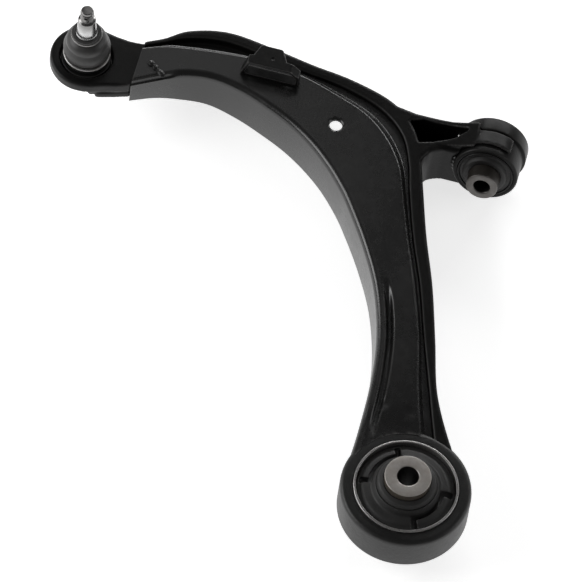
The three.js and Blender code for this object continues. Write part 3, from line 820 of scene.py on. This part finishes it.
def weld_bead(name, path, lobes, height, base, steps=80):
    """Welds laid along a path in plan, flat below. Each lobe is (middle, half length, half width)."""
    points = np.array(path, float)
    lengths = np.concatenate(([0], np.cumsum(np.linalg.norm(np.diff(points, axis=0), axis=1))))
    rings = []
    for k in range(steps + 1):
        run = lengths[-1] * k / steps
        behind, centre, ahead = (
            np.array([np.interp(run + step, lengths, line) for line in points.T]) for step in (-1.5, 0, 1.5)
        )
        along = (ahead - behind) / np.linalg.norm(ahead - behind)
        side = np.array((-along[1], along[0]))
        share, width = 0.12, 0.3  # the least of each
        for middle_run, half_length, half_width in lobes:
            fullness = math.sqrt(max(1 - ((run - middle_run) / half_length) ** 2, 0))
            share = max(share, fullness)
            width = max(width, half_width * fullness)
        ring = []
        for angle in np.linspace(0, math.pi, 13):
            u, v = width * math.cos(angle), height * share * math.sin(angle)
            ring.append((*(centre + side * u), base + v))
        rings.append(np.array(ring))
    return loft(name, rings)


def weld_fillet(name, radius, size, root_at, start, end, centre, turn=UPRIGHT, steps=90):
    """A weld in the corner round a cylinder, over part of a turn."""
    rings = []
    for k in range(steps + 1):
        degrees = start + (end - start) * k / steps
        angle = math.radians(degrees)
        fade = math.sqrt(max(1 - abs(2 * k / steps - 1) ** 8, 0.03))
        puddle = fade * (0.84 + 0.16 * abs(math.sin(math.radians(degrees) * radius / 1.5)))
        reach, rise = abs(size) * puddle, size * puddle
        root = root_at(degrees)
        corner = [(radius, root)]
        for a in np.linspace(0, math.pi / 2, 7):
            corner.append((radius + reach * math.cos(a) ** 1.3, root + rise * math.sin(a) ** 1.3))
        rings.append(set_down(swung(np.array(corner), angle), centre, turn))
    return loft(name, rings)


def near_wall_at(degrees):
    """Height, along the front bush axis, where the frame's near wall meets the eye at an angle."""
    tilt = math.asin(FRONT_AXIS.z)
    rise = (FRONT_EYE["outer"] + GAP) * math.sin(math.radians(degrees)) * math.sin(tilt)
    return (FRONT_CENTRE.y - NEAR_WALL + GAP + rise) / math.cos(tilt)


nose_path = [(-262, 296.5), (-255, 291.5), (-248, 286)]
nose_lobes = [(2.7, 2.7, 2.6), (7.3, 2.4, 2.4), (13.4, 4.3, 2.4)]
nose_weld = weld_bead("nose_weld_bead", nose_path, nose_lobes, height=1.6, base=GAP)
finish_piece(nose_weld, "arm", "nose_weld", weld_paint)
rear_weld = weld_fillet(
    "rear_eye_weld_bead", REAR_EYE["outer"] + GAP, -4, lambda degrees: -SHEET - 2 * GAP, 95, 121, CENTRE
)
finish_piece(rear_weld, "arm", "rear_eye_weld", weld_paint)
front_weld = weld_fillet(
    "front_eye_weld_bead", FRONT_EYE["outer"] + GAP, 2.5, near_wall_at, 165, 225, FRONT_CENTRE, FRONT_TURN
)
finish_piece(front_weld, "arm", "front_eye_weld", weld_paint)

# ---------------------------------------------------------------- rear bush

rear_eye = turned(
    "rear_eye",
    tube(REAR_EYE["bore"], REAR_EYE["outer"], REAR_EYE["bottom"], REAR_EYE["top"], (0.6, 1.6, 5, 0.7)),
    CENTRE, segments=160, steps=7,
)
finish_piece(rear_eye, "arm", "rear_eye_ring", cast_paint, sharp=30)

REAR_FOOT = -32.5  # lower end of the outer sleeve and of the rubber
rear_wall = tube(35.7, 37.7, REAR_FOOT, 0, (0.5, 0.5, 0.9, 0.6))
rear_outer = turned("rear_bush_outer_sleeve", rear_wall, CENTRE, segments=160)
finish_piece(rear_outer, "arm", "rear_outer_sleeve", sleeve_bright, sharp=30)

CORE = {"outer": 16.7, "bolt": 7.7, "top": 14, "bottom": -46}
core_wall = tube(CORE["bolt"], CORE["outer"], CORE["bottom"], CORE["top"], (1.0, 0.8, 0.8, 1.2))
rear_core = turned("rear_bush_core", core_wall, CENTRE, segments=128)
finish_piece(rear_core, "rear_core", "rear_inner_sleeve", bush_steel, sharp=30)

COLLAR = 21.6  # radius of the joint line between the collar and the web
VOID = {"inner": 24.6, "outer": 27.4, "tip": 33.4, "middle": -31, "half": 39, "tip_half": 4}


def sector(name, near, far, start, end):
    """A cutter round the rear bush axis, between two radii and two angles in degrees."""
    ring = unit_arc(start, end, 30)
    return slab(name, np.concatenate((far * ring, near * ring[::-1])), -70, 20)


def rear_web():
    """Web of the rear rubber, with a slit void on each side that widens outwards at its ends."""
    web = turned("rear_bush_web", [
        (COLLAR + 0.1, -32.2, 1), (30, -31, 3), (35.4, -29, 1), (35.4, -4.2, 1.2), (32.6, -3.4, 2),
        (30.5, -1.8, 3), (25, -1, 2.5), (COLLAR + 0.1, 4, 0.4),
    ], CENTRE, segments=160)
    half, tip_half = VOID["half"], VOID["tip_half"]
    for centre in (VOID["middle"], VOID["middle"] + 180):
        cut(web, sector("slit", VOID["inner"], VOID["outer"], centre - half, centre + half))
        for side in (-1, 1):
            at = centre + side * (half - tip_half)
            cut(web, sector("tip", VOID["inner"] + 0.4, VOID["tip"], at - tip_half, at + tip_half))
    return melted(web, 0.55, 3)


web = rear_web()
finish_piece(web, None, "rear_rubber", bush_rubber, sharp=60)
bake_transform(web)

collar = turned("rear_bush_collar", [
    (16.85, REAR_FOOT, 0.4), (COLLAR, -32.2, 0.6), (COLLAR, 4.2, 0.6), (20.3, 7, 1.6), (17.8, 7.9, 0.8),
    (16.85, 7.9, 0.3),
], CENTRE, segments=128)
finish_piece(collar, None, None, bush_rubber, sharp=50)
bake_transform(collar)

# ---------------------------------------------------------------- front bush


def on_front(name, corners, segments=112):
    return turned(name, corners, FRONT_CENTRE, FRONT_TURN, segments)


half, step = FRONT_EYE["half"], FRONT_EYE["step"]
front_eye = on_front("front_eye", [
    (FRONT_EYE["bore"], -half, 0.7), (FRONT_EYE["collar"], -half, 2),
    (FRONT_EYE["collar"], step - 1.4, 1.4), (FRONT_EYE["outer"], step - 0.2, 1.2),
    (FRONT_EYE["outer"], half, 2), (FRONT_EYE["bore"], half, 0.7),
])
finish_piece(front_eye, "arm", "front_eye_tube", frame_paint, sharp=30)
sleeve_wall = tube(19.3, 20.6, -17.2, 17.2, (0.4, 0.5, 0.5, 0.4))
front_outer = on_front("front_bush_outer_sleeve", sleeve_wall)
finish_piece(front_outer, "arm", "front_outer_sleeve", forged_paint, sharp=30)
front_rubber = on_front("front_bush_rubber", [
    (11.75, -19, 0.4), (15.5, -19, 1.2), (16.6, -16.2, 1), (19.15, -16.6, 0.6), (19.15, 16.6, 0.6),
    (16.6, 16.2, 1), (15.5, 19, 1.2), (11.75, 19, 0.4),
])
finish_piece(front_rubber, "arm", "front_rubber", bush_rubber, sharp=50)
HALF = 30.4  # of the front core's length
front_core_steel = steel_look(
    "front_core_steel", place(FRONT_CENTRE), FRONT_AXIS, face=0.14, side=0.03,
    top_height=HALF * MM, bore=6 * MM,
)
front_core = on_front("front_bush_core", tube(5.9, 11.6, -HALF, HALF, (0.9, 0.6, 0.7, 1.6)))
finish_piece(front_core, "front_core", "front_inner_sleeve", front_core_steel, sharp=30)

# ---------------------------------------------------------------- ball joint

BALL = {"z": -8.5, "radius": 11.5}
HOUSING = {"outer": 18.5, "lower": 17.4, "cavity": 14.3, "spigot": 13.7, "top": 2.5, "bottom": -25}
BOOT_FOOT, BOOT_WAIST, BOOT_NECK = 3, 12.0, 22  # heights between which the boot bends
BALL_FOOT = (BALL_AXIS.x, BALL_AXIS.y, 0)
STUD_AXIS = Vector(joint("ball_spin")["axis"]).normalized()
LEAN = math.atan2(STUD_AXIS.x, STUD_AXIS.z)  # about layout Y, from upright


def arc(radius, start, end, steps):
    """(radius, height, 0) corners of an arc about the ball's centre."""
    angles = np.radians(np.linspace(start, end, steps + 1))
    return [(radius * math.cos(a), BALL["z"] + radius * math.sin(a), 0) for a in angles]


def rigid_lean(points, share=1.0):
    """Leans points about the ball's centre, the way that the stud rests."""
    angle = LEAN * share
    x, z = points[:, 0] - BALL_FOOT[0], points[:, 2] - BALL["z"]
    leaned = points.copy()
    leaned[:, 0] = BALL_FOOT[0] + x * np.cos(angle) + z * np.sin(angle)
    leaned[:, 2] = BALL["z"] + z * np.cos(angle) - x * np.sin(angle)
    return leaned


def bent_lean(points):
    """The same for the boot, whose foot stays upright."""
    return rigid_lean(points, smoothstep(points[:, 2], BOOT_FOOT, BOOT_NECK))


def on_ball(name, corners, segments=96, lean=None):
    rings = turned_points(rounded(corners, 4), segments, BALL_FOOT)
    return loft(name, [lean(ring) for ring in rings] if lean else rings, closed=True)


housing = on_ball("joint_housing", [
    (HOUSING["lower"], HOUSING["bottom"], 1), (HOUSING["lower"], -19.8, 0.5),
    (HOUSING["outer"], -18.6, 0.5), (HOUSING["outer"], -4.8, 1.3), (HOUSING["spigot"], -4.8, 0.3),
    (HOUSING["spigot"], HOUSING["top"], 0.5), (12.2, HOUSING["top"], 0.6), (10.2, -1.8, 0.4),
    *arc(HOUSING["cavity"], 27.9, 0, 10), (HOUSING["cavity"], -22.2, 0), (16, -22.2, 0.4),
    (16, HOUSING["bottom"], 0.4),
])
finish_piece(housing, "arm", "ball_housing", forged_paint, sharp=30)


def circlip():
    """Open spring ring, in the groove below the carrier."""
    profile = rounded(tube(18.8, 20.2, -18, -16.8, (0.25, 0.25, 0.25, 0.25)), 3)
    angles = np.radians(np.linspace(-82, 262, 120))
    return loft("joint_circlip", [set_down(swung(profile, angle), BALL_FOOT) for angle in angles])


finish_piece(circlip(), "arm", "housing_circlip", spring_bright, sharp=40)
seat_radius = BALL["radius"] + GAP
seat_outer = HOUSING["cavity"] - GAP
top_of_seat = 6.4
seat = on_ball(
    "joint_seat",
    arc(seat_radius, math.degrees(math.asin(top_of_seat / seat_radius)), -64, 16)
    + [(5.2, -20.6, 0.3), (seat_outer, -20.6, 0.6)]
    + arc(seat_outer, 0, math.degrees(math.asin(top_of_seat / seat_outer)), 8),
)
finish_piece(seat, "arm", "ball_seat", seat_polymer, sharp=40)
washer = on_ball(
    "joint_preload_washer", [(4.5, -21.9, 0.1), (13.8, -21.6, 0.2), (13.8, -20.9, 0.2), (4.5, -21.2, 0.1)]
)
finish_piece(washer, "arm", "preload_washer", spring_bright, sharp=30)
cover = on_ball("joint_cover", [
    (0.02, -23.6, 0), (6, -23.6, 1.5), (9, -24.3, 1.5), (13, -24.3, 1), (15.7, -23.6, 0.6),
    (15.7, -22.5, 0.4), (12, -22.5, 0.4), (9, -23, 0.6), (0.02, -22.8, 0),
])
finish_piece(cover, "arm", "housing_cover", spring_bright, sharp=40)
lower_ring = on_ball("boot_foot_ring", tube(15.5, 17.3, 0.3, 2.3, (0.5, 0.9, 0.9, 0.5)))
finish_piece(lower_ring, "arm", "boot_lower_ring", sleeve_bright, sharp=40)
neck_wall = tube(10.7, 11.5, 24.2, 25.6, (0.35, 0.4, 0.4, 0.35))
upper_ring = on_ball("boot_neck_ring", neck_wall, lean=rigid_lean)
finish_piece(upper_ring, "boot_neck", "boot_upper_ring", spring_bright, sharp=40)

BOOT_OUTSIDE = (
    (15.2, -4.4), (15.2, 2.7), (16.4, 4.2), (17.3, 6.6), (17.4, 9.4), (16.9, 12), (15.9, 14.2),
    (15.2, 15.6), (15.1, 16.8), (14.9, 18.4), (13.9, 20.4), (12.2, 22.1), (10.6, 23.2), (10.2, 24.2),
    (10.2, 25.6), (11, 26.2), (10.8, 27.2),
)
BOOT_INSIDE = (
    (8.4, 27.2), (8.4, 23.4), (9.2, 22), (11, 20.9), (12.6, 19.4), (13.5, 17.8), (13.8, 16.4), (14, 15),
    (14.8, 13.2), (15.6, 11.2), (15.9, 9), (15.7, 7), (14.9, 5.2), (14, 4), (14, -4.4),
)


def smooth_line(points, count):
    """Points along a Catmull-Rom curve through the given ones."""
    rows = np.array(points, float)
    return np.array([on_curve(rows, u) for u in np.linspace(0, len(rows) - 1, count)])


def boot_half(name, upper):
    """One half of the boot's wall, above or below its waist."""

    def keep(line):
        upwards = line if line[0, 1] < line[-1, 1] else line[::-1]
        waist = [(np.interp(BOOT_WAIST, upwards[:, 1], upwards[:, 0]), BOOT_WAIST)]
        side = line[:, 1] > BOOT_WAIST + 0.1 if upper else line[:, 1] < BOOT_WAIST - 0.1
        return np.concatenate((waist, line[side]) if side[-1] else (line[side], waist))

    profile = np.concatenate([keep(smooth_line(side, 60)) for side in (BOOT_OUTSIDE, BOOT_INSIDE)])
    rings = turned_points(profile, 112, BALL_FOOT)
    return loft(name, [bent_lean(ring) for ring in rings], closed=True)


lower_boot = boot_half("boot_lower_half", False)
finish_piece(lower_boot, None, "dust_boot", boot_rubber, sharp=60)
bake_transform(lower_boot)
upper_boot = boot_half("boot_upper_half", True)
finish_piece(upper_boot, None, None, boot_rubber, sharp=60)
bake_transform(upper_boot)

STUD_TIP = 55
PIN_HOLE = {"height": 50, "radius": 1.3}
THREAD = {"low": 45.8, "high": 52.2, "pitch": 1.25, "radius": 5.0, "depth": 0.4}


def stud():
    """Ball, neck, taper and threaded end in one piece, with a cotter-pin hole near the tip."""
    lower = arc(BALL["radius"], -88, math.degrees(math.asin(9.8 / BALL["radius"])), 28)
    taper = [(6, 5, 3), (8, 14, 3), (8, 27.5, 0.6), (7.4, 28.4, 0.6), (6.5, 43.5, 0.6)]
    body = rounded([*lower, *taper, (4.6, 44.4, 0.5), (4.6, 45, 0.3)], 4)
    turns = np.arange(THREAD["low"], THREAD["high"], THREAD["pitch"] / 6)
    thread = np.column_stack((np.full(len(turns), THREAD["radius"]), turns))
    tip = rounded([(5, 52.4, 0), (4.4, 53.1, 0.3), (4.4, STUD_TIP, 0.8), (0.05, STUD_TIP - 0.05, 0)], 4)
    profile = np.concatenate((body, [(4.8, 45.5)], thread, tip, [(0.05, BALL["z"])]))
    rings = []
    segments = 96
    for k in range(segments):
        share = k / segments
        row = profile.copy()
        inside = (row[:, 1] >= THREAD["low"]) & (row[:, 1] <= THREAD["high"]) & (row[:, 0] > 4.9)
        phase = (row[:, 1] / THREAD["pitch"] - share) % 1
        row[inside, 0] -= THREAD["depth"] * (1 - np.abs(2 * phase[inside] - 1))
        rings.append(rigid_lean(set_down(swung(row, 2 * math.pi * share), BALL_FOOT)))
    piece = loft("joint_stud", rings, closed=True)
    across = Matrix.Rotation(math.radians(90), 3, "X")
    shift = (PIN_HOLE["height"] - BALL["z"]) * math.sin(LEAN)
    hole = (BALL_FOOT[0] + shift, BALL_FOOT[1], PIN_HOLE["height"])
    return cut(piece, drum("pin_hole", PIN_HOLE["radius"], -20, 20, hole, across, 40))


finish_piece(stud(), "stud", "ball_stud", stud_plate, sharp=45)

# ---------------------------------------------------------------- floor, light, camera

low, high = cad_bounds
centre = (low + high) / 2


FLOOR_REACH, FLOOR_DROP = 7.0, 0.0005  # metres


def floor_look():
    """White paper that glows a little, so that it stays white beyond the lamps."""
    look = Look("floor_paper")
    colour = look.mixed(look.noise(60, 2, 0.5), grey(0.93), grey(0.9))
    grain = look.bump(look.noise(3, 2, 0.5), 0.02)
    return look.finish(colour, 0.9, grain, Emission_Color=(1, 1, 1, 1), Emission_Strength=0.72)


floor_mesh = bpy.data.meshes.new("floor")
signs = ((-1, -1), (1, -1), (1, 1), (-1, 1))
corners = [(x * FLOOR_REACH, y * FLOOR_REACH, low.z - FLOOR_DROP) for x, y in signs]
floor_mesh.from_pydata(corners, [], [(0, 1, 2, 3)])
floor = show("floor", floor_mesh)
floor.data.materials.append(floor_look())


def soft_box(name, azimuth, elevation, distance, width, height, power, target=centre):
    """A rectangular light that faces its target, in metres and watts. Azimuth 0 is the camera's side, 90
    is to its right."""
    data = bpy.data.lights.new(name, "AREA")
    data.shape = "RECTANGLE"
    data.size = width
    data.size_y = height
    data.energy = power
    lamp = show(name, data)
    a, e = math.radians(azimuth), math.radians(elevation)
    away = Vector((math.sin(a) * math.cos(e), -math.cos(a) * math.cos(e), math.sin(e)))
    lamp.location = target + away * distance
    lamp.rotation_euler = away.to_track_quat("Z", "Y").to_euler()


nose_plate = Vector(place((-200, 300, 0)))
soft_box("key_left", -84, 28, distance=2.6, width=2.2, height=1.2, power=37)
soft_box("back_strip", 178, 22, distance=2.6, width=2.6, height=0.5, power=31)
soft_box("nose_glow", 196, 58, distance=1.0, width=0.3, height=0.3, power=0.16, target=nose_plate)
soft_box("right_fill", 102, 24, distance=2.8, width=1.6, height=1.2, power=12)

world = bpy.data.worlds.new("studio")
world.use_nodes = True
world.node_tree.nodes["Background"].inputs["Color"].default_value = (1, 1, 1, 1)
world.node_tree.nodes["Background"].inputs["Strength"].default_value = 0.09
bpy.context.scene.world = world

VIEW = {"azimuth": 6.0, "elevation": 58.1, "roll": 8.8}
FOCAL_PIXELS = 8000  # focal length in widths of a picture element
IMAGE_SIDE = 582
MM_PER_STEP = 0.7207  # size of a picture element at the arm
AIM = Vector((-117.9, 148.6, -23.0))  # layout point in the middle of the view


def camera():
    """The photo's view: a far camera, nearly without perspective, rolled a little."""
    data = bpy.data.cameras.new("view")
    data.sensor_width = 36
    data.lens = FOCAL_PIXELS * data.sensor_width / IMAGE_SIDE
    data.clip_end = 50
    turn, rise, roll = (math.radians(VIEW[key]) for key in ("azimuth", "elevation", "roll"))
    right = Vector((math.cos(turn), math.sin(turn), 0))
    up = Vector((-math.sin(turn) * math.sin(rise), math.cos(turn) * math.sin(rise), math.cos(rise)))
    back = right.cross(up)
    across = right * math.cos(roll) + up * math.sin(roll)
    upwards = up * math.cos(roll) - right * math.sin(roll)
    standpoint = ORIGIN + AIM * MM + back * (FOCAL_PIXELS * MM_PER_STEP * MM)
    eye = show("view", data)
    eye.matrix_world = Matrix.Translation(standpoint) @ Matrix((across, upwards, back)).transposed().to_4x4()
    bpy.context.scene.camera = eye


camera()
bpy.context.scene.view_settings.view_transform = "Standard"
